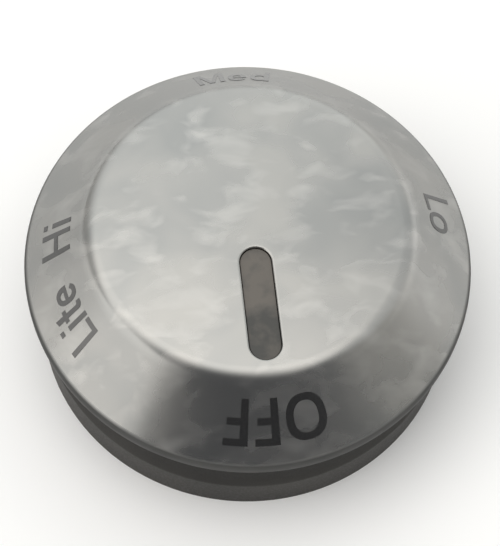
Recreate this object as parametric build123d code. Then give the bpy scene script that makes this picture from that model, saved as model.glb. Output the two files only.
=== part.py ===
from build123d import *
import math
import os

# Push-on stove knob: a pressed sheet-metal cap hemmed over a moulded body, with a pointer bar in the
# cap's slot and a spring leaf in the stem socket. Millimetres. Z runs out through the face, z = 0 is
# the back edge of the skirt, and the pointer lies along -Y.

# Cap, one sheet
cap_diameter = 45.0  # across the lip, the widest part
face_diameter = 31.4  # where face and bevel would meet in a sharp corner
face_crown = 0.5  # rise of the face from that corner to its middle
bevel_angle = 45.0  # fall of the bevel from level, degrees
sheet = 0.8  # thickness of the cap's metal
shoulder_bend = 1.6  # inside radius between face and bevel
rim_bend = 0.5  # inside radius between bevel and lip
hem_bend = 0.3  # inside radius between lip and hem
lip_straight = 0.3  # upright run of the lip between its two bends
hem_width = 1.9  # lip's outside to the hem's free edge

# Slot in the face and the pointer bar in it
slot_width = 3.1
slot_length = 11.5
slot_reach = 14.2  # axis to the slot's outer end
pointer_gap = 0.05  # play of the bar in the slot and of its flange in the body
pointer_drop = 0.25  # top of the bar below the face
pointer_flange = 0.6  # how far the bar's foot reaches under the metal
pointer_seat = 1.2  # depth of the foot's pocket below the middle of the body's roof

# Body, one moulding
skirt_diameter = 43.4  # at the back edge
skirt_height = 4.6  # back edge to the finger groove
skirt_draft = 1.5  # lean of the skirt's side, degrees
skirt_round = 0.6  # round at the skirt's upper edge
groove_height = 6.2  # skirt's upper edge to the hem
groove_sweep = 4.0  # height of the hollow curve from that edge to the neck
hem_gap = 0.15  # neck to the hem's free edge
cap_gap = 0.1  # bonding gap between cap and body
body_wall = 2.4
rib_count = 6
rib_thickness = 1.6
rib_recess = 4.0  # back edge up to the ribs

# Hub and stem socket
hub_diameter = 14.0
hub_recess = 1.0  # back edge up to the hub's end
stem_diameter = 8.0
stem_across_flat = 6.5
socket_gap = 0.05  # play of the stem in the D-shaped socket
socket_depth = 12.5  # hub's end to the socket's floor
lead_in_depth = 3.0  # round mouth, before the flat begins
lead_in_gap = 0.35  # radial play of the stem in the round mouth
mouth_chamfer = 0.4

# Spring leaf on the socket's flat
clip_thickness = 0.4
clip_width = 4.8
clip_length = 8.6
clip_foot = 0.9  # flat run at each end of the leaf
clip_bow = 0.85  # rise of the bow over the feet
clip_press = 0.3  # how far the free bow stands into the socket
clip_gap = 0.05  # play of the leaf in its pocket
clip_offset = 0.2  # round mouth's end to the leaf

rim_r = cap_diameter / 2
face_r = face_diameter / 2
shoulder_round = shoulder_bend + sheet
rim_round = rim_bend + sheet
hem_round = hem_bend + sheet
hem_level = skirt_height + groove_height
rim_level = hem_level + hem_round + lip_straight + rim_round * math.tan(math.radians(bevel_angle / 2))
face_level = rim_level + (rim_r - face_r) * math.tan(math.radians(bevel_angle))
body_inset = sheet + cap_gap
pocket_floor = face_level + face_crown - body_inset - pointer_seat
neck_r = rim_r - hem_width - hem_gap
skirt_top_r = skirt_diameter / 2 - skirt_height * math.tan(math.radians(skirt_draft))
stem_r = stem_diameter / 2
socket_flat = stem_across_flat - stem_r + socket_gap
lead_in_end = hub_recess + lead_in_depth
clip_back = socket_flat - clip_press + clip_thickness + clip_bow
clip_start = lead_in_end + clip_offset
clip_end = clip_start + clip_length
past = cap_diameter  # a length that reaches clear of the whole knob
tiny = 0.001


def rounded(section, level, radius):
    corners = section.vertices().filter_by_position(Axis.Y, level - tiny, level + tiny)
    return fillet(corners, radius)


def outline(inset, foot):
    # Full-width section inside the cap's outer surface, drawn in evenly by inset, upright down to foot
    crown = ThreePointArc((face_r, face_level), (0, face_level + face_crown), (-face_r, face_level))
    sides = Polyline(
        (-face_r, face_level),
        (-rim_r, rim_level),
        (-rim_r, foot),
        (rim_r, foot),
        (rim_r, rim_level),
        (face_r, face_level),
    )
    section = rounded(make_face(crown + sides), face_level, shoulder_round)
    section = rounded(section, rim_level, rim_round)
    section = rounded(section, foot, hem_round)
    return offset(section, -inset, kind=Kind.INTERSECTION) if inset else section


def strip(radius, low, high):
    # Half-section of a plain cylinder
    return Pos(0, low) * Rectangle(radius, high - low, align=(Align.MIN, Align.MIN))


def turned(section):
    half = section & strip(past, -past, past)
    return revolve(Plane.XZ * half, Axis.Z)


def stadium(margin, low):
    # Upright block with the slot's outline, grown by margin, from low to clear of the face
    shape = SlotOverall(slot_length + 2 * margin, slot_width + 2 * margin, rotation=90)
    return Pos(0, slot_length / 2 - slot_reach, low) * extrude(shape, past)


def make_cap():
    section = outline(0, hem_level) - outline(sheet, hem_level)
    section -= strip(rim_r - hem_width, hem_level - tiny, hem_level + sheet + tiny)
    return turned(section) - stadium(0, pocket_floor)


def make_pointer():
    bar = stadium(-pointer_gap, pocket_floor) & turned(outline(pointer_drop, hem_level))
    foot = stadium(pointer_flange, pocket_floor) & turned(outline(body_inset, hem_level))
    return bar + foot


def hollow(depth):
    # Half-section of the space inside the plug and neck, depth below their surface
    return outline(body_inset + depth, -past) & strip(neck_r - depth, -past, past)


def body_shell():
    skirt_edge = (skirt_top_r, skirt_height)
    neck_foot = (neck_r, skirt_height + groove_sweep)
    side = Polyline((0, rim_level), (0, 0), (skirt_diameter / 2, 0), skirt_edge)
    side += TangentArc(neck_foot, skirt_edge, tangent=(0, -1))
    side += Polyline(neck_foot, (neck_r, rim_level), (0, rim_level))
    section = rounded(make_face(side), skirt_height, skirt_round)
    section += outline(body_inset, hem_level - cap_gap)
    section -= strip(skirt_top_r - body_wall, -tiny, skirt_height - body_wall)
    return turned(section - hollow(body_wall))


def hub_and_ribs():
    hub = Pos(0, 0, hub_recess) * extrude(Circle(hub_diameter / 2), past)
    rib = Pos(0, 0, rib_recess) * Box(past, rib_thickness, past, align=(Align.MIN, Align.CENTER, Align.MIN))
    spokes = [place * rib for place in PolarLocations(0, rib_count)]
    return (hub + spokes) & turned(hollow(body_wall / 2))


def stem_socket():
    mouth_r = stem_r + lead_in_gap
    flat_side = Pos(0, socket_flat) * Rectangle(past, past, align=(Align.CENTER, Align.MAX))
    socket = extrude(Circle(stem_r + socket_gap) & flat_side, socket_depth)
    socket += extrude(Circle(mouth_r), lead_in_depth)
    socket += Cone(mouth_r + mouth_chamfer, mouth_r, mouth_chamfer, align=(Align.CENTER, Align.CENTER, Align.MIN))
    leaf = Rectangle(clip_width + 2 * clip_gap, clip_back + clip_gap, align=(Align.CENTER, Align.MIN))
    socket += extrude(leaf, clip_end + clip_gap - hub_recess)
    return Pos(0, 0, hub_recess) * socket


def make_body():
    return body_shell() + hub_and_ribs() - stem_socket() - stadium(pointer_flange + pointer_gap, pocket_floor)


def make_clip():
    middle = (clip_start + clip_end) / 2
    front = clip_back - clip_thickness
    press = socket_flat - clip_press
    low = clip_start + clip_foot
    high = clip_end - clip_foot
    side = Polyline((front, low), (front, clip_start), (clip_back, clip_start), (clip_back, low))
    side += ThreePointArc((clip_back, low), (press + clip_thickness, middle), (clip_back, high))
    side += Polyline((clip_back, high), (clip_back, clip_end), (front, clip_end), (front, high))
    side += ThreePointArc((front, high), (press, middle), (front, low))
    return extrude(Plane.YZ * make_face(side), clip_width / 2, both=True)


pieces = {
    "metal_cap": make_cap(),
    "pointer_bar": make_pointer(),
    "knob_body": make_body(),
    "stem_clip": make_clip(),
}

os.makedirs("parts", exist_ok=True)
for name, piece in pieces.items():
    export_step(piece, f"parts/{name}.step")
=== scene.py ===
import bpy
import math
from mathutils import Matrix, Vector


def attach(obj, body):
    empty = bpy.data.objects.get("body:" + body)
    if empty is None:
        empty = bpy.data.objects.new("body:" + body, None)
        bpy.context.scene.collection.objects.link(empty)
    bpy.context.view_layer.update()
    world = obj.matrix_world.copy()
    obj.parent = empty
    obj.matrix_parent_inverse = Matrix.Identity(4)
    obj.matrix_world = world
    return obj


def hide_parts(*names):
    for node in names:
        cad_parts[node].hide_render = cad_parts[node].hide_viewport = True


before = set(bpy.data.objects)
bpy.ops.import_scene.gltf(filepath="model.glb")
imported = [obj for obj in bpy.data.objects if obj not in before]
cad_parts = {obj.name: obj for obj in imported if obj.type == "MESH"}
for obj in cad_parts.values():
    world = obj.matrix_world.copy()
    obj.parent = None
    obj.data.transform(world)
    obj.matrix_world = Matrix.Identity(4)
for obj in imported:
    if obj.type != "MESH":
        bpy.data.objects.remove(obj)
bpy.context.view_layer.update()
mm = 0.001  # sizes below are in millimetres, the frame is in metres
print("frame loaded:", ", ".join(sorted(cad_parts)))


# Small helpers for node trees

def inMetres(sizes):
    return [size * mm for size in sizes]


def connect(tree, node, feeds):
    for place, feed in feeds.items():
        if isinstance(feed, bpy.types.NodeSocket):
            tree.links.new(feed, node.inputs[place])
        else:
            node.inputs[place].default_value = feed


def addNode(tree, kind, feeds=None, **settings):
    made = tree.nodes.new(kind)
    for name, value in settings.items():
        setattr(made, name, value)
    connect(tree, made, feeds or {})
    return made


def calc(tree, operation, first, second=0.0):
    return addNode(tree, "ShaderNodeMath", {0: first, 1: second}, operation=operation).outputs[0]


def vectorCalc(tree, operation, feeds):
    made = addNode(tree, "ShaderNodeVectorMath", feeds, operation=operation)
    return made.outputs["Value" if operation in ("LENGTH", "DOT_PRODUCT") else "Vector"]


def combine(tree, x=0.0, y=0.0, z=0.0):
    return addNode(tree, "ShaderNodeCombineXYZ", {0: x, 1: y, 2: z}).outputs[0]


def separate(tree, vector):
    return addNode(tree, "ShaderNodeSeparateXYZ", {0: vector}).outputs


def remap(tree, value, span, target, **settings):
    feeds = {"Value": value, "From Min": span[0], "From Max": span[1]}
    feeds.update({"To Min": target[0], "To Max": target[1]})
    return addNode(tree, "ShaderNodeMapRange", feeds, **settings).outputs["Result"]


def greater(tree, first, second):
    return addNode(tree, "FunctionNodeCompare", {0: first, 1: second}, operation="GREATER_THAN").outputs[0]


def choose(tree, kind, test, no, yes):
    feeds = {"Switch": test, "False": no, "True": yes}
    return addNode(tree, "GeometryNodeSwitch", feeds, input_type=kind).outputs[0]


def welded(tree, geometry, distance):
    feeds = {"Geometry": geometry, "Distance": distance}
    return addNode(tree, "GeometryNodeMergeByDistance", feeds).outputs[0]


def newGeometryTree(name, sizes):
    tree = bpy.data.node_groups.new(name, "GeometryNodeTree")
    tree.interface.new_socket("Geometry", in_out="INPUT", socket_type="NodeSocketGeometry")
    for label, kind in sizes.items():
        tree.interface.new_socket(label, in_out="INPUT", socket_type="NodeSocket" + kind)
    tree.interface.new_socket("Geometry", in_out="OUTPUT", socket_type="NodeSocketGeometry")
    return tree, tree.nodes.new("NodeGroupInput").outputs, tree.nodes.new("NodeGroupOutput").inputs


def endTree(tree, geometry, material, outlet):
    single = addNode(tree, "GeometryNodeRealizeInstances", {"Geometry": geometry})
    coated = addNode(tree, "GeometryNodeSetMaterial", {"Geometry": single.outputs[0], "Material": material})
    tree.links.new(coated.outputs[0], outlet["Geometry"])


sharpAngle = 40.0  # degrees; an edge that turns further is shaded sharp


def bakeTree(name, source, tree, values):
    carrier = bpy.data.objects.new(name + "Source", source)
    bpy.context.scene.collection.objects.link(carrier)
    modifier = carrier.modifiers.new(tree.name, "NODES")
    modifier.node_group = tree
    for item in tree.interface.items_tree:
        if item.in_out == "INPUT" and item.name in values:
            modifier[item.identifier] = values[item.name]
    graph = bpy.context.evaluated_depsgraph_get()
    mesh = bpy.data.meshes.new_from_object(carrier.evaluated_get(graph))
    carrier.modifiers.remove(modifier)
    bpy.data.objects.remove(carrier)
    mesh.name = name
    mesh.shade_smooth()
    mesh.set_sharp_from_angle(angle=math.radians(sharpAngle))
    piece = bpy.data.objects.new(name, mesh)
    bpy.context.scene.collection.objects.link(piece)
    print(f"{name}: {len(mesh.vertices)} vertices, {len(mesh.polygons)} faces")
    return piece


# Helpers for materials

noiseSpan = (0.3, 0.7)  # most of a noise lies between these values
fullShare = (0.0, 1.0)


def newMaterial(name):
    material = bpy.data.materials.new(name)
    material.use_nodes = True
    tree = material.node_tree
    return material, tree, tree.nodes["Principled BSDF"]


def objectPlace(tree):
    return addNode(tree, "ShaderNodeTexCoord").outputs["Object"]


def clouds(tree, size, detail, rough, distortion=0.0, stretch=(1, 1, 1), turn=0.0, shift=(0, 0, 0)):
    # size is the width of one cloud and shift moves the pattern, in mm; turn is about Z, in degrees
    feeds = {"Vector": objectPlace(tree), "Scale": stretch, "Location": inMetres(shift)}
    feeds["Rotation"] = (0.0, 0.0, math.radians(turn))
    place = addNode(tree, "ShaderNodeMapping", feeds).outputs["Vector"]
    feeds = {"Vector": place, "Scale": 1 / (size * mm), "Detail": detail}
    feeds.update({"Roughness": rough, "Distortion": distortion})
    return addNode(tree, "ShaderNodeTexNoise", feeds).outputs["Fac"]


def blendColors(tree, share, first, second):
    # Inputs 6 and 7 and output 2 are the mix node's colours
    feeds = {0: share}
    for place, color in ((6, first), (7, second)):
        feeds[place] = color if isinstance(color, bpy.types.NodeSocket) else (*color, 1.0)
    return addNode(tree, "ShaderNodeMix", feeds, data_type="RGBA").outputs[2]


def bump(tree, height, depth, strength, under=None):
    # depth is in mm
    feeds = {"Height": height, "Distance": depth * mm, "Strength": strength}
    if under is not None:
        feeds["Normal"] = under
    return addNode(tree, "ShaderNodeBump", feeds).outputs["Normal"]


# Materials; levels are heights over the back edge in mm, and each bump is a depth in mm and a strength

satinMetal = {
    # painted sheen: the clouds swing the metal's colour between dark and light, standing in for cloudy
    # reflections; roughness and bump follow the same clouds
    "light": (0.425, 0.421, 0.407),
    "dark": (0.352, 0.357, 0.351),
    "cloud": {"size": 8.0, "detail": 2.0, "rough": 0.45, "distortion": 0.4, "shift": (25.0, 13.0, -1.0)},
    "sheenCloudSpan": (0.34, 0.66),
    "cloudBump": (0.03, 0.05),
    "roughness": (0.23, 0.29),
    # painted sheen: lighter streaks over the face and bevel, which also turn a little rougher
    "paintedSheenWisp": (0.495, 0.491, 0.478),
    "wispCloud": {
        "size": 2.4,
        "detail": 2.5,
        "rough": 0.5,
        "distortion": 0.4,
        "stretch": (0.55, 1.0, 0.7),
        "turn": 24.0,
        "shift": (12.0, 5.0, -28.0),
    },
    "wispSpan": (0.5, 0.76),
    "wispRoughness": 0.07,
    "grain": {"size": 0.16, "detail": 2.0, "rough": 0.6},
    "grainBump": (0.003, 0.2),
    "bevelShade": 0.19,  # the bevel is a little darker than the face
    "bevelLevels": (18.5, 19.5),
    "lip": (0.09, 0.09, 0.088),  # painted shade: the edge below the rim is darkened, standing in for the dark it reflects
    "lipLevels": (12.85, 13.2),
    "lipRoughness": 0.25,
    "edgeTint": (0.78, 0.78, 0.78),  # seen at a flat angle
}


def makeSatinMetal():
    material, tree, shader = newMaterial("satinMetal")
    height = separate(tree, objectPlace(tree))["Z"]
    cloud = clouds(tree, **satinMetal["cloud"])
    paintedSheenWisp = remap(tree, clouds(tree, **satinMetal["wispCloud"]), satinMetal["wispSpan"], fullShare)
    # painted sheen: the share of light colour that the clouds give
    share = remap(tree, cloud, satinMetal["sheenCloudSpan"], fullShare)
    color = blendColors(tree, share, satinMetal["dark"], satinMetal["light"])
    # painted sheen: the lighter wisps laid over the colour
    color = blendColors(tree, paintedSheenWisp, color, satinMetal["paintedSheenWisp"])
    shade = remap(tree, height, inMetres(satinMetal["bevelLevels"]), (satinMetal["bevelShade"], 0.0))
    color = blendColors(tree, shade, color, (0.0, 0.0, 0.0))
    # painted shade on the edge below the rim, which the roughness below also dulls
    lip = remap(tree, height, inMetres(satinMetal["lipLevels"]), (1.0, 0.0))
    rough = remap(tree, cloud, satinMetal["sheenCloudSpan"], satinMetal["roughness"])
    rough = calc(tree, "ADD", rough, calc(tree, "MULTIPLY", paintedSheenWisp, satinMetal["wispRoughness"]))
    rough = calc(tree, "ADD", rough, calc(tree, "MULTIPLY", lip, satinMetal["lipRoughness"]))
    fine = bump(tree, clouds(tree, **satinMetal["grain"]), *satinMetal["grainBump"])
    connect(tree, shader, {
        # painted shade: the lip colour is laid over the metal below the rim
        "Base Color": blendColors(tree, lip, color, satinMetal["lip"]),
        "Metallic": 1.0,
        "Specular Tint": (*satinMetal["edgeTint"], 1.0),
        "Roughness": rough,
        "Normal": bump(tree, cloud, *satinMetal["cloudBump"], fine),
    })
    return material


printInk = {
    "light": (0.005, 0.005, 0.0048),
    "dark": (0.002, 0.002, 0.002),
    "speck": {"size": 0.35, "detail": 3.0, "rough": 0.6},
    "speckBump": (0.003, 0.4),
    "roughness": (0.16, 0.24),
    "ior": 1.95,
}


def makePrintInk():
    material, tree, shader = newMaterial("printInk")
    speck = clouds(tree, **printInk["speck"])
    connect(tree, shader, {
        "Base Color": blendColors(tree, speck, printInk["dark"], printInk["light"]),
        "Roughness": remap(tree, speck, noiseSpan, printInk["roughness"]),
        "Normal": bump(tree, speck, *printInk["speckBump"]),
        "IOR": printInk["ior"],
    })
    return material


pointerPlastic = {
    "light": (0.120, 0.109, 0.096),
    "dark": (0.046, 0.046, 0.043),
    "haze": {"size": 1.7, "detail": 3.0, "rough": 0.55},
    "hazeShare": (-0.45, 0.45),
    "fade": (-10.1, -8.7),  # along the bar, from its dark outer end to its lighter run
    "fadeShare": (0.15, 0.85),
    "roughness": (0.42, 0.6),
    "grain": {"size": 0.12, "detail": 2.0, "rough": 0.6},
    "grainBump": (0.006, 0.4),
}


def makePointerPlastic():
    material, tree, shader = newMaterial("pointerPlastic")
    haze = clouds(tree, **pointerPlastic["haze"])
    along = separate(tree, objectPlace(tree))["Y"]
    fade = remap(tree, along, inMetres(pointerPlastic["fade"]), pointerPlastic["fadeShare"])
    share = calc(tree, "ADD", fade, remap(tree, haze, noiseSpan, pointerPlastic["hazeShare"]))
    share = addNode(tree, "ShaderNodeClamp", {0: share}).outputs[0]
    connect(tree, shader, {
        "Base Color": blendColors(tree, share, pointerPlastic["dark"], pointerPlastic["light"]),
        "Roughness": remap(tree, haze, noiseSpan, pointerPlastic["roughness"]),
        "Normal": bump(tree, clouds(tree, **pointerPlastic["grain"]), *pointerPlastic["grainBump"]),
    })
    return material


bodyPlastic = {
    "light": (0.040, 0.037, 0.0325),
    "dark": (0.023, 0.0217, 0.0195),
    "cloud": {"size": 9.0, "detail": 3.0, "rough": 0.5},
    "cloudShare": 0.7,  # the rest of the mottling is grain
    "grain": {"size": 0.22, "detail": 2.0, "rough": 0.55},
    "grainBump": (0.02, 0.5),
    "mottleSpan": (0.35, 0.65),
    # painted shade: the body darkens upwards between these levels, into the groove under the rim
    "groove": (0.0115, 0.01085, 0.00975),
    "grooveShare": (0.0, 0.8),
    "grooveLevels": (4.2, 6.2),
    "roughness": (0.48, 0.66),
    "gloss": 0.36,
}


def makeBodyPlastic():
    material, tree, shader = newMaterial("bodyPlastic")
    grain = clouds(tree, **bodyPlastic["grain"])
    wide = calc(tree, "MULTIPLY", clouds(tree, **bodyPlastic["cloud"]), bodyPlastic["cloudShare"])
    mottle = calc(tree, "ADD", wide, calc(tree, "MULTIPLY", grain, 1 - bodyPlastic["cloudShare"]))
    share = remap(tree, mottle, bodyPlastic["mottleSpan"], fullShare)
    color = blendColors(tree, share, bodyPlastic["dark"], bodyPlastic["light"])
    height = separate(tree, objectPlace(tree))["Z"]
    # painted shade in the groove under the rim
    groove = remap(tree, height, inMetres(bodyPlastic["grooveLevels"]), bodyPlastic["grooveShare"])
    connect(tree, shader, {
        "Base Color": blendColors(tree, groove, color, bodyPlastic["groove"]),
        "Roughness": remap(tree, grain, noiseSpan, bodyPlastic["roughness"]),
        "Normal": bump(tree, grain, *bodyPlastic["grainBump"]),
        "Specular IOR Level": bodyPlastic["gloss"],
    })
    return material


clipSteel = {
    "light": (0.58, 0.57, 0.55),
    "dark": (0.36, 0.35, 0.36),
    "streak": {"size": 0.8, "detail": 3.0, "rough": 0.6, "stretch": (1.0, 1.0, 0.08)},
    "streakBump": (0.003, 0.3),
    "roughness": (0.22, 0.4),
}


def makeClipSteel():
    material, tree, shader = newMaterial("clipSteel")
    streak = clouds(tree, **clipSteel["streak"])
    connect(tree, shader, {
        "Base Color": blendColors(tree, streak, clipSteel["dark"], clipSteel["light"]),
        "Metallic": 1.0,
        "Roughness": remap(tree, streak, noiseSpan, clipSteel["roughness"]),
        "Normal": bump(tree, streak, *clipSteel["streakBump"]),
    })
    return material


print("materials: satin metal, print ink, pointer plastic, body plastic, clip steel")
metal = makeSatinMetal()
ink = makePrintInk()
pointerFinish = makePointerPlastic()
bodyFinish = makeBodyPlastic()
clipFinish = makeClipSteel()


# Cap: one bent sheet, turned round Z, whose face runs from the slot's outline to the round shoulder

capSizes = {
    "diameter": 45.0,
    "faceDiameter": 31.4,
    "crown": 0.5,
    "bevelAngle": 45.0,
    "sheet": 0.8,
    "shoulderRound": 2.4,
    "rimRound": 1.3,
    "hemRound": 1.1,
    "lipStraight": 0.3,
    "hemLevel": 10.8,
    "hemWidth": 1.9,
    "slotWidth": 3.1,
    "slotLength": 11.5,
    "slotReach": 14.2,
    "slotRound": 0.15,
    "segments": 288,
    "faceRows": 16,
    "underRows": 5,
    "bevelRows": 12,
    "bendRows": 12,
    "slotRows": 6,
    "merge": 0.0005,  # points closer than this become one
}
slope = math.radians(capSizes["bevelAngle"])
rimRadius = capSizes["diameter"] / 2
faceRadius = capSizes["faceDiameter"] / 2
rimDrop = capSizes["rimRound"] * math.tan(slope / 2)
rimLevel = capSizes["hemLevel"] + capSizes["hemRound"] + capSizes["lipStraight"] + rimDrop
faceLevel = rimLevel + (rimRadius - faceRadius) * math.tan(slope)
crownRadius = (faceRadius ** 2 + capSizes["crown"] ** 2) / (2 * capSizes["crown"])
crownTop = faceLevel + capSizes["crown"]
slotHalf = capSizes["slotWidth"] / 2
slotInner = capSizes["slotLength"] - capSizes["slotReach"] - slotHalf
slotOuter = slotHalf - capSizes["slotReach"]


def bend(center, radius, start, end, rows):
    # Angles in degrees from straight up towards the outside
    turns = [math.radians(start + (end - start) * i / rows) for i in range(rows + 1)]
    return [(center[0] + radius * math.sin(a), center[1] + radius * math.cos(a)) for a in turns]


def between(first, last, rows):
    # Rows stand closer towards both ends, so that the bends there shade cleanly
    steps = [0.5 - 0.5 * math.cos(math.pi * i / rows) for i in range(1, rows)]
    return [tuple(a + (b - a) * t for a, b in zip(first, last)) for t in steps]


def shoulderCenter():
    # The shoulder's round touches the crown from below and the bevel from inside
    radius = capSizes["shoulderRound"]
    crownCenter = crownTop - crownRadius
    startX = faceRadius - radius * math.sin(slope)
    startZ = faceLevel - radius * math.cos(slope) - crownCenter
    along = startX * math.cos(slope) - startZ * math.sin(slope)
    beyond = startX ** 2 + startZ ** 2 - (crownRadius - radius) ** 2
    step = -along - math.sqrt(along ** 2 - beyond)
    return startX + step * math.cos(slope), startZ - step * math.sin(slope) + crownCenter


def sheetSide(inset, hemLevel):
    # One side of the sheet, from the shoulder over bevel, rim and lip to the hem's free edge
    shoulder = shoulderCenter()
    rim = (rimRadius - capSizes["rimRound"], rimLevel - rimDrop)
    hem = (rimRadius - capSizes["hemRound"], capSizes["hemLevel"] + capSizes["hemRound"])
    lean = math.degrees(math.atan2(shoulder[0], shoulder[1] - crownTop + crownRadius))
    tilt = capSizes["bevelAngle"]
    rows = capSizes["bendRows"]
    top = bend(shoulder, capSizes["shoulderRound"] - inset, lean, tilt, rows)
    edge = bend(rim, capSizes["rimRound"] - inset, tilt, 90, rows)
    low = bend(hem, capSizes["hemRound"] - inset, 90, 180, rows)
    bevel = between(top[-1], edge[0], capSizes["bevelRows"])
    return top + bevel + edge + low + [(rimRadius - capSizes["hemWidth"], hemLevel)]


def capSection():
    sheet = capSizes["sheet"]
    tip = capSizes["slotRound"]
    outer = sheetSide(0.0, capSizes["hemLevel"])
    inner = sheetSide(sheet, capSizes["hemLevel"] + sheet)[::-1]
    faceEdge = inner[-1][0]
    face = [(slotHalf, -sheet), (slotHalf, -sheet / 2)]
    face += bend((slotHalf + tip, -tip), tip, -90, 0, capSizes["slotRows"])
    face += between((slotHalf + tip, 0.0), (faceEdge, 0.0), capSizes["faceRows"]) + [(faceEdge, 0.0)]
    under = between((faceEdge, -sheet), (slotHalf, -sheet), capSizes["underRows"])
    section = [(x, z, 1.0, 0.0) for x, z in face]
    section += [(x, z, 0.0, 1.0) for x, z in outer + inner]
    section += [(x, z, 1.0, 0.0) for x, z in under]
    return section, faceEdge


def sectionMesh(name, section):
    # A row of points: reach in X, level in Z, and whether a point hangs on the crown and turns round Z
    mesh = bpy.data.meshes.new(name)
    mesh.from_pydata([(x * mm, 0.0, z * mm) for x, z, hang, turned in section], [], [])
    for label, column in (("hang", 2), ("turned", 3)):
        values = mesh.attributes.new(label, "FLOAT", "POINT")
        values.data.foreach_set("value", [row[column] for row in section])
    return mesh


def sectionGrid(tree, given):
    # A column for each step of the turn and a row for each section point, the first one twice if closed
    feeds = {"Geometry": given["Geometry"]}
    counts = addNode(tree, "GeometryNodeAttributeDomainSize", feeds, component="MESH").outputs
    points = counts["Point Count"]
    rows = calc(tree, "ADD", points, given["Closed"])
    columns = calc(tree, "ADD", given["Segments"], 1.0)
    feeds = {"Vertices X": columns, "Vertices Y": rows}
    grid = addNode(tree, "GeometryNodeMeshGrid", feeds).outputs["Mesh"]
    index = tree.nodes.new("GeometryNodeInputIndex").outputs[0]
    column = calc(tree, "FLOOR", calc(tree, "DIVIDE", calc(tree, "ADD", index, 0.5), rows))
    rest = calc(tree, "SUBTRACT", index, calc(tree, "MULTIPLY", column, rows))
    row = calc(tree, "ROUND", calc(tree, "MODULO", rest, points))
    return grid, column, row


def faceSpot(tree, given, outward, sine, reach):
    # On a spoke from the slot's middle line to the face's round edge, stretched beyond the edge zone
    ring = vectorCalc(tree, "SCALE", {0: outward, "Scale": given["Face edge"]})
    ringY = calc(tree, "MULTIPLY", sine, given["Face edge"])
    ends = {0: ringY, 1: given["Slot outer end"], 2: given["Slot inner end"]}
    spine = combine(tree, y=addNode(tree, "ShaderNodeClamp", ends).outputs[0])
    spoke = vectorCalc(tree, "SUBTRACT", {0: ring, 1: spine})
    spokeLength = vectorCalc(tree, "LENGTH", {0: spoke})
    zone = given["Edge zone"]
    stretched = remap(tree, reach, (zone, given["Face edge"]), (zone, spokeLength))
    length = choose(tree, "FLOAT", greater(tree, reach, zone), reach, stretched)
    onSpoke = vectorCalc(tree, "SCALE", {0: vectorCalc(tree, "NORMALIZE", {0: spoke}), "Scale": length})
    return vectorCalc(tree, "ADD", {0: spine, 1: onSpoke})


def crownHeight(tree, given, spot):
    radiusSquare = calc(tree, "POWER", given["Crown radius"], 2.0)
    awaySquare = calc(tree, "POWER", vectorCalc(tree, "LENGTH", {0: spot}), 2.0)
    rise = calc(tree, "SQRT", calc(tree, "SUBTRACT", radiusSquare, awaySquare))
    fall = calc(tree, "SUBTRACT", given["Crown radius"], rise)
    return calc(tree, "SUBTRACT", given["Crown top"], fall)


def makeTurnedTree():
    tree, given, outlet = newGeometryTree("turnedSheet", {
        "Segments": "Int",
        "Closed": "Int",
        "Face edge": "Float",
        "Edge zone": "Float",
        "Slot inner end": "Float",
        "Slot outer end": "Float",
        "Crown top": "Float",
        "Crown radius": "Float",
        "Merge distance": "Float",
        "Material": "Material",
    })
    grid, column, row = sectionGrid(tree, given)

    def sectionValue(kind, value):
        feeds = {"Geometry": given["Geometry"], "Value": value, "Index": row}
        made = addNode(tree, "GeometryNodeSampleIndex", feeds, data_type=kind, domain="POINT")
        return made.outputs["Value"]

    def sectionFlag(label):
        flag = addNode(tree, "GeometryNodeInputNamedAttribute", {"Name": label}, data_type="FLOAT")
        return sectionValue("FLOAT", flag.outputs["Attribute"])

    place = sectionValue("FLOAT_VECTOR", tree.nodes.new("GeometryNodeInputPosition").outputs[0])
    reach, _, level = separate(tree, place)
    angle = calc(tree, "DIVIDE", calc(tree, "MULTIPLY", column, 2 * math.pi), given["Segments"])
    sine = calc(tree, "SINE", angle)
    outward = combine(tree, calc(tree, "COSINE", angle), sine)
    onFace = faceSpot(tree, given, outward, sine, reach)
    onRound = vectorCalc(tree, "SCALE", {0: outward, "Scale": reach})
    turned = greater(tree, sectionFlag("turned"), 0.5)
    flat = choose(tree, "VECTOR", turned, onFace, onRound)
    crown = calc(tree, "MULTIPLY", sectionFlag("hang"), crownHeight(tree, given, flat))
    lift = combine(tree, z=calc(tree, "ADD", level, crown))
    target = vectorCalc(tree, "ADD", {0: flat, 1: lift})
    moved = addNode(tree, "GeometryNodeSetPosition", {"Geometry": grid, "Position": target}).outputs[0]
    sheet = welded(tree, moved, given["Merge distance"])
    facing = addNode(tree, "GeometryNodeFlipFaces", {"Mesh": sheet}).outputs[0]
    endTree(tree, facing, given["Material"], outlet)
    return tree


turnedTree = makeTurnedTree()
capRows, faceEdge = capSection()
sharedSizes = {
    "Segments": capSizes["segments"],
    "Slot inner end": slotInner * mm,
    "Slot outer end": slotOuter * mm,
    "Crown top": crownTop * mm,
    "Crown radius": crownRadius * mm,
    "Face edge": faceEdge * mm,
    "Merge distance": capSizes["merge"] * mm,
}
capShell = bakeTree("capShell", sectionMesh("capSection", capRows), turnedTree, {
    **sharedSizes,
    "Closed": 1,
    "Edge zone": (slotHalf + capSizes["slotRound"]) * mm,
    "Material": metal,
})
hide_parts("metal_cap")
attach(capShell, "root")


# Pointer bar, round-ended, with its foot under the sheet; drop and level are measured from the crown

pointerSizes = {
    "gap": 0.05,
    "drop": 0.25,
    "flange": 0.6,
    "footLevel": -0.9,
    "seat": 1.2,
    "edgeRound": 0.06,
    "topRows": 6,
    "edgeRows": 6,
}


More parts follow.
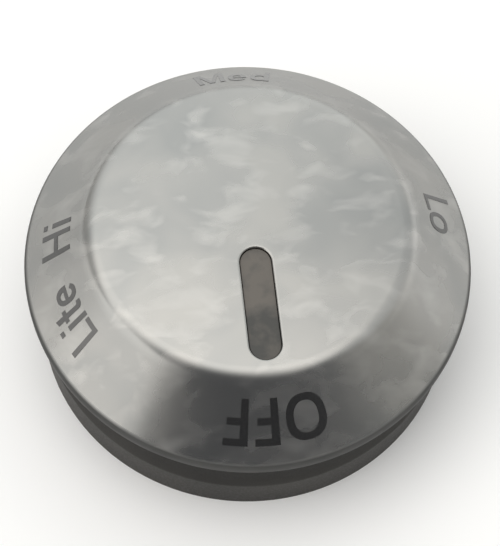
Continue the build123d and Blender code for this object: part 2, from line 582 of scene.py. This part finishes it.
def pointerSection():
    half = slotHalf - pointerSizes["gap"]
    foot = slotHalf + pointerSizes["flange"]
    floor = crownTop + pointerSizes["footLevel"] - pointerSizes["seat"]
    tip = pointerSizes["edgeRound"]
    top = -pointerSizes["drop"]
    crowned = [(0.0, top)] + between((0.0, top), (half - tip, top), pointerSizes["topRows"])
    crowned += bend((half - tip, top - tip), tip, 0, 90, pointerSizes["edgeRows"])
    crowned += [(half, pointerSizes["footLevel"]), (foot, pointerSizes["footLevel"])]
    section = [(x, z, 1.0, 0.0) for x, z in crowned]
    return section + [(foot, floor, 0.0, 0.0), (0.0, floor, 0.0, 0.0)]


pointerBar = bakeTree("pointerBar", sectionMesh("pointerSection", pointerSection()), turnedTree, {
    **sharedSizes,
    "Closed": 0,
    "Edge zone": rimRadius * mm,
    "Material": pointerFinish,
})
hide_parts("pointer_bar")
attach(pointerBar, "root")


# Printed marks, drawn flat as one strip and wrapped round the bevel

# base is how far up the bevel from the rim the letters stand, and gap is a share of their height
markSizes = {
    "middleRadius": 19.2,
    "inkHeight": 0.03,
    "inkSunk": 0.008,
    "fineness": 2,
    "merge": 0.001,
    "words": [
        {"text": "OFF", "angle": -88.8, "height": 4.9, "base": 7.25, "stroke": 0.76, "gap": 0.138},
        {"text": "Lite", "angle": -160.0, "height": 4.0, "base": 6.6, "stroke": 0.52, "gap": 0.07},
        {"text": "Hi", "angle": 174.3, "height": 4.1, "base": 6.95, "stroke": 0.55, "gap": 0.14},
        {"text": "Med", "angle": 89.0, "height": 4.0, "base": 6.8, "stroke": 0.52, "gap": 0.10},
        {"text": "Lo", "angle": 3.3, "height": 4.1, "base": 6.4, "stroke": 0.46, "gap": 0.01},
    ],
}

# Widths and heights are shares of a capital's height unless a note says otherwise
letterSizes = {
    "widths": {
        "O": 0.80, "F": 0.455, "L": 0.475, "i": 0.135, "t": 0.31,
        "e": 0.49, "H": 0.655, "M": 0.72, "d": 0.51, "o": 0.55,
    },
    "smallHeight": 0.68,
    "squareness": 0.86,  # exponent of the bowls, 1 for a true oval
    "armLevel": 0.56,  # top of the lower arm of F
    "armLength": 0.92,  # that arm, in letter widths
    "peak": 1.3,  # width of a top corner of M, in strokes
    "notch": 2.0,  # inner corner of M below the top, in strokes
    "valley": 1.7,  # level of the fork of M, in strokes
    "point": 0.55,  # half the middle foot of M, in strokes
    "stem": 0.27,  # left of the stem of t, in letter widths
    "stemTop": (0.92, 0.96),  # slanted top of t, left and right
    "hook": 1.35,  # outer radius of the foot of t, in strokes
    "hookInside": 0.5,  # its inner radius, in strokes
    "barLevel": 0.44,  # bar of e, in small heights
    "bar": 0.85,  # thickness of that bar, in strokes
    "opening": 322.0,  # where the ring of e ends, in degrees
    "throat": 0.99,  # left end of the bar's lower side, in inner half widths
    "eyeInset": 0.01,  # corners of the eye of e, in mm
    "bowlCut": 20.0,  # where the bowl of d meets its stem, in degrees
}


def oval(center, half, start=0.0, end=360.0, steps=40):
    # Slightly squared oval, angles in degrees
    points = []
    for i in range(steps + 1):
        turn = math.radians(start + (end - start) * i / steps)
        across = math.cos(turn)
        upward = math.sin(turn)
        x = math.copysign(abs(across) ** letterSizes["squareness"], across) * half[0]
        y = math.copysign(abs(upward) ** letterSizes["squareness"], upward) * half[1]
        points.append((center[0] + x, center[1] + y))
    return points


def bowlSizes(width, height, stroke):
    # Half sizes of a bowl's outside, which are also its centre, and of its inside
    return (width / 2, height / 2), (width / 2 - stroke, height / 2 - stroke)


def drawF(width, height, stroke):
    arm = height * letterSizes["armLevel"]
    reach = width * letterSizes["armLength"]
    return [[
        (0, 0), (stroke, 0), (stroke, arm - stroke), (reach, arm - stroke), (reach, arm), (stroke, arm),
        (stroke, height - stroke), (width, height - stroke), (width, height), (0, height),
    ]]


def drawL(width, height, stroke):
    return [[(0, 0), (width, 0), (width, stroke), (stroke, stroke), (stroke, height), (0, height)]]


def drawH(width, height, stroke):
    low = height / 2 - stroke / 2
    high = height / 2 + stroke / 2
    right = width - stroke
    return [[
        (0, 0), (stroke, 0), (stroke, low), (right, low), (right, 0), (width, 0),
        (width, height), (right, height), (right, high), (stroke, high), (stroke, height), (0, height),
    ]]


def drawM(width, height, stroke):
    middle = width / 2
    point = stroke * letterSizes["point"]
    corner = height - letterSizes["notch"] * stroke
    peak = letterSizes["peak"] * stroke
    right = width - stroke
    return [[
        (0, 0), (stroke, 0), (stroke, corner), (middle - point, 0), (middle + point, 0), (right, corner),
        (right, 0), (width, 0), (width, height), (width - peak, height),
        (middle, letterSizes["valley"] * stroke), (peak, height), (0, height),
    ]]


def drawI(width, height, stroke):
    small = height * letterSizes["smallHeight"]
    dot = height - stroke
    return [
        [(0, 0), (stroke, 0), (stroke, small), (0, small)],
        [(0, dot), (stroke, dot), (stroke, height), (0, height)],
    ]


def drawT(width, height, stroke):
    small = height * letterSizes["smallHeight"]
    left = width * letterSizes["stem"]
    right = left + stroke
    under = small - stroke
    leftTop, rightTop = (height * share for share in letterSizes["stemTop"])
    hook = letterSizes["hook"] * stroke
    inside = letterSizes["hookInside"] * stroke
    outerBend = oval((left + hook, hook), (hook, hook), 180, 270, steps=8)
    innerBend = oval((right + inside, stroke + inside), (inside, inside), 270, 180, steps=6)
    outline = [(0, under), (left, under)] + outerBend + [(width, 0), (width, stroke)] + innerBend
    outline += [(right, under), (width, under), (width, small), (right, small)]
    return [outline + [(right, rightTop), (left, leftTop), (left, small), (0, small)]]


def drawO(width, height, stroke):
    outer, inner = bowlSizes(width, height, stroke)
    return [oval(outer, outer)[:-1], oval(outer, inner)[:-1]]


def drawSmallO(width, height, stroke):
    return drawO(width, height * letterSizes["smallHeight"], stroke)


def drawE(width, height, stroke):
    small = height * letterSizes["smallHeight"]
    outer, inner = bowlSizes(width, small, stroke)
    bar = small * letterSizes["barLevel"]
    barTop = bar + stroke * letterSizes["bar"]
    opening = letterSizes["opening"]
    edge = width / 2 - inner[0] + letterSizes["eyeInset"]
    ring = oval(outer, outer, 0, opening, steps=60)
    hook = [spot for spot in oval(outer, inner, opening, 180, steps=30) if spot[1] < bar]
    throat = (width / 2 - inner[0] * letterSizes["throat"], bar)
    eye = [spot for spot in oval(outer, inner, 0, 180, steps=30) if spot[1] > barTop]
    return [[(width, bar)] + ring + hook + [throat], [(width - edge, barTop)] + eye + [(edge, barTop)]]


def drawD(width, height, stroke):
    outer, inner = bowlSizes(width, height * letterSizes["smallHeight"], stroke)
    stem = width - stroke
    cut = letterSizes["bowlCut"]
    ring = [spot for spot in oval(outer, outer, cut, 360 - cut, steps=60) if spot[0] < stem]
    eye = [spot for spot in oval(outer, inner, cut, 360 - cut, steps=60) if spot[0] < stem]
    return [ring + [(stem, 0), (width, 0), (width, height), (stem, height)], eye]


letterShapes = {
    "O": drawO, "F": drawF, "L": drawL, "i": drawI, "t": drawT,
    "e": drawE, "H": drawH, "M": drawM, "d": drawD, "o": drawSmallO,
}


def wordOutlines(word):
    outlines = []
    cursor = 0.0
    gap = word["gap"] * word["height"]
    for letter in word["text"]:
        width = letterSizes["widths"][letter] * word["height"]
        for outline in letterShapes[letter](width, word["height"], word["stroke"]):
            outlines.append([(x + cursor, y) for x, y in outline])
        cursor += width + gap
    half = (cursor - gap) / 2
    turn = math.radians(word["angle"]) * markSizes["middleRadius"]
    return [[(turn - (x - half), word["base"] - y) for x, y in outline] for outline in outlines]


def markStrip():
    # X runs round the bevel at its middle radius, Y up the bevel from the rim
    strip = bpy.data.curves.new("markStrip", "CURVE")
    strip.dimensions = "3D"
    for word in markSizes["words"]:
        for outline in wordOutlines(word):
            spline = strip.splines.new("POLY")
            spline.points.add(len(outline) - 1)
            spline.points.foreach_set("co", [v for x, y in outline for v in (x * mm, y * mm, 0.0, 1.0)])
            spline.use_cyclic_u = True
    return strip


def inkFilm(tree, given):
    # The filled outlines as a closed film of even thickness, still flat
    feeds = {"Curve": given["Geometry"]}
    filled = addNode(tree, "GeometryNodeFillCurve", feeds, mode="TRIANGLES").outputs[0]
    feeds = {"Mesh": filled, "Level": given["Fineness"]}
    dense = addNode(tree, "GeometryNodeSubdivideMesh", feeds).outputs[0]
    thick = calc(tree, "ADD", given["Ink height"], given["Ink sunk"])
    feeds = {"Mesh": dense, "Offset": combine(tree, z=1.0), "Offset Scale": thick, "Individual": False}
    raised = addNode(tree, "GeometryNodeExtrudeMesh", feeds, mode="FACES").outputs["Mesh"]
    base = addNode(tree, "GeometryNodeFlipFaces", {"Mesh": dense}).outputs[0]
    both = addNode(tree, "GeometryNodeJoinGeometry")
    tree.links.new(raised, both.inputs[0])
    tree.links.new(base, both.inputs[0])
    return welded(tree, both.outputs[0], given["Merge distance"])


def makeWrapTree():
    tree, given, outlet = newGeometryTree("wrappedPrint", {
        "Middle radius": "Float",
        "Rim radius": "Float",
        "Rim level": "Float",
        "Bevel angle": "Float",
        "Ink height": "Float",
        "Ink sunk": "Float",
        "Fineness": "Int",
        "Merge distance": "Float",
        "Material": "Material",
    })
    film = inkFilm(tree, given)
    along, climb, proud = separate(tree, tree.nodes.new("GeometryNodeInputPosition").outputs[0])
    angle = calc(tree, "DIVIDE", along, given["Middle radius"])
    cosTilt = calc(tree, "COSINE", given["Bevel angle"])
    sinTilt = calc(tree, "SINE", given["Bevel angle"])
    proud = calc(tree, "SUBTRACT", proud, given["Ink sunk"])
    inset = calc(tree, "SUBTRACT", given["Rim radius"], calc(tree, "MULTIPLY", climb, cosTilt))
    radius = calc(tree, "ADD", inset, calc(tree, "MULTIPLY", proud, sinTilt))
    foot = calc(tree, "ADD", given["Rim level"], calc(tree, "MULTIPLY", climb, sinTilt))
    level = calc(tree, "ADD", foot, calc(tree, "MULTIPLY", proud, cosTilt))
    x = calc(tree, "MULTIPLY", radius, calc(tree, "COSINE", angle))
    y = calc(tree, "MULTIPLY", radius, calc(tree, "SINE", angle))
    feeds = {"Geometry": film, "Position": combine(tree, x, y, level)}
    wrapped = addNode(tree, "GeometryNodeSetPosition", feeds).outputs[0]
    endTree(tree, wrapped, given["Material"], outlet)
    return tree


bevelMarks = bakeTree("bevelMarks", markStrip(), makeWrapTree(), {
    "Middle radius": markSizes["middleRadius"] * mm,
    "Rim radius": rimRadius * mm,
    "Rim level": rimLevel * mm,
    "Bevel angle": slope,
    "Ink height": markSizes["inkHeight"] * mm,
    "Ink sunk": markSizes["inkSunk"] * mm,
    "Fineness": markSizes["fineness"],
    "Merge distance": markSizes["merge"] * mm,
    "Material": ink,
})
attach(bevelMarks, "root")


# Moulded body and spring leaf keep their solids and get their finishes

for node, finish in (("knob_body", bodyFinish), ("stem_clip", clipFinish)):
    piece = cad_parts[node]
    piece.data.materials.clear()
    piece.data.materials.append(finish)
print("finishes set on the body and the leaf")


# Floor, light and camera

paleFloor = {
    "radius": 1600.0,
    "steps": 96,
    "dark": (0.905, 0.908, 0.91),
    "light": (0.93215, 0.93524, 0.9373),
    "cloud": {"size": 90.0, "detail": 2.0, "rough": 0.5},
    "roughness": 0.9,
}


def makeFloor():
    radius = paleFloor["radius"] * mm
    turns = [2 * math.pi * i / paleFloor["steps"] for i in range(paleFloor["steps"])]
    rim = [(radius * math.cos(turn), radius * math.sin(turn), 0.0) for turn in turns]
    mesh = bpy.data.meshes.new("paleFloor")
    mesh.from_pydata(rim, [], [list(range(len(rim)))])
    material, tree, shader = newMaterial("paleFloor")
    cloud = clouds(tree, **paleFloor["cloud"])
    connect(tree, shader, {
        "Base Color": blendColors(tree, cloud, paleFloor["dark"], paleFloor["light"]),
        "Roughness": paleFloor["roughness"],
    })
    mesh.materials.append(material)
    floor = bpy.data.objects.new("paleFloor", mesh)
    bpy.context.scene.collection.objects.link(floor)


# Soft light all round; each glow is a direction (azimuth, height), its spread in degrees and its tone
studioLight = {
    "base": (0.36, 0.36, 0.355),
    "glows": [
        {"toward": (140.0, 14.0), "inner": 15.0, "outer": 45.0, "tone": (0.59, 0.58, 0.56)},
        {"toward": (80.0, 42.0), "inner": 25.0, "outer": 58.0, "tone": (1.20, 1.22, 1.20)},
        {"toward": (0.0, 6.0), "inner": 15.0, "outer": 60.0, "tone": (0.62, 0.61, 0.58)},
        {"toward": (18.0, 2.0), "inner": 16.0, "outer": 36.0, "tone": (1.25, 1.24, 1.21)},
        {"toward": (10.0, 55.0), "inner": 14.0, "outer": 42.0, "tone": (0.80, 0.81, 0.80)},
        {"toward": (-140.0, 70.0), "inner": 31.0, "outer": 45.0, "tone": (1.90, 1.85, 1.77)},
        {"toward": (-107.0, 22.0), "inner": 26.0, "outer": 68.0, "tone": (0.18, 0.18, 0.185)},
        {"toward": (-163.5, 16.5), "inner": 22.0, "outer": 29.5, "tone": (1.76, 1.72, 1.65)},
        {"toward": (-192.0, 8.0), "inner": 6.0, "outer": 18.0, "tone": (1.25, 1.23, 1.19)},
    ],
    "sun": {"toward": (-160.0, 65.0), "spread": 60.0, "strength": 0.6},
}


def direction(azimuth, height):
    turn = math.radians(azimuth)
    rise = math.radians(height)
    return Vector((math.cos(rise) * math.cos(turn), math.cos(rise) * math.sin(turn), math.sin(rise)))


def makeGlows():
    world = bpy.data.worlds.new("studio")
    bpy.context.scene.world = world
    world.use_nodes = True
    tree = world.node_tree
    ray = addNode(tree, "ShaderNodeTexCoord").outputs["Generated"]
    color = studioLight["base"]
    for glow in studioLight["glows"]:
        facing = vectorCalc(tree, "DOT_PRODUCT", {0: ray, 1: direction(*glow["toward"])})
        span = [math.cos(math.radians(glow[edge])) for edge in ("outer", "inner")]
        share = remap(tree, facing, span, fullShare, interpolation_type="SMOOTHSTEP")
        color = blendColors(tree, share, color, glow["tone"])
    tree.links.new(color, tree.nodes["Background"].inputs["Color"])


def makeSun():
    lamp = bpy.data.lights.new("softSun", "SUN")
    lamp.energy = studioLight["sun"]["strength"]
    lamp.angle = math.radians(studioLight["sun"]["spread"])
    sun = bpy.data.objects.new("softSun", lamp)
    sun.rotation_euler = direction(*studioLight["sun"]["toward"]).to_track_quat("Z", "Y").to_euler()
    sun.visible_glossy = False
    bpy.context.scene.collection.objects.link(sun)


cameraView = {
    "azimuth": -100.0,
    "height": 64.42,
    "roll": 4.09,
    "distance": 157.5,
    "target": (-0.07, -1.96, 12.74),
    "lens": 103.75,
    "clip": (5.0, 20000.0),
}


def makeCamera():
    back = direction(cameraView["azimuth"], cameraView["height"])
    right = Vector((0, 0, 1)).cross(back).normalized()
    up = back.cross(right)
    roll = math.radians(cameraView["roll"])
    across = right * math.cos(roll) + up * math.sin(roll)
    upright = up * math.cos(roll) - right * math.sin(roll)
    spot = (Vector(cameraView["target"]) + back * cameraView["distance"]) * mm
    lens = bpy.data.cameras.new("photoView")
    lens.lens = cameraView["lens"]
    lens.clip_start, lens.clip_end = inMetres(cameraView["clip"])
    camera = bpy.data.objects.new("photoView", lens)
    turn = Matrix((across, upright, back)).transposed()
    camera.matrix_world = Matrix.Translation(spot) @ turn.to_4x4()
    bpy.context.scene.collection.objects.link(camera)
    bpy.context.scene.camera = camera


makeFloor()
makeGlows()
makeSun()
makeCamera()
bpy.context.scene.view_settings.view_transform = "Standard"
print("floor, light and camera set")
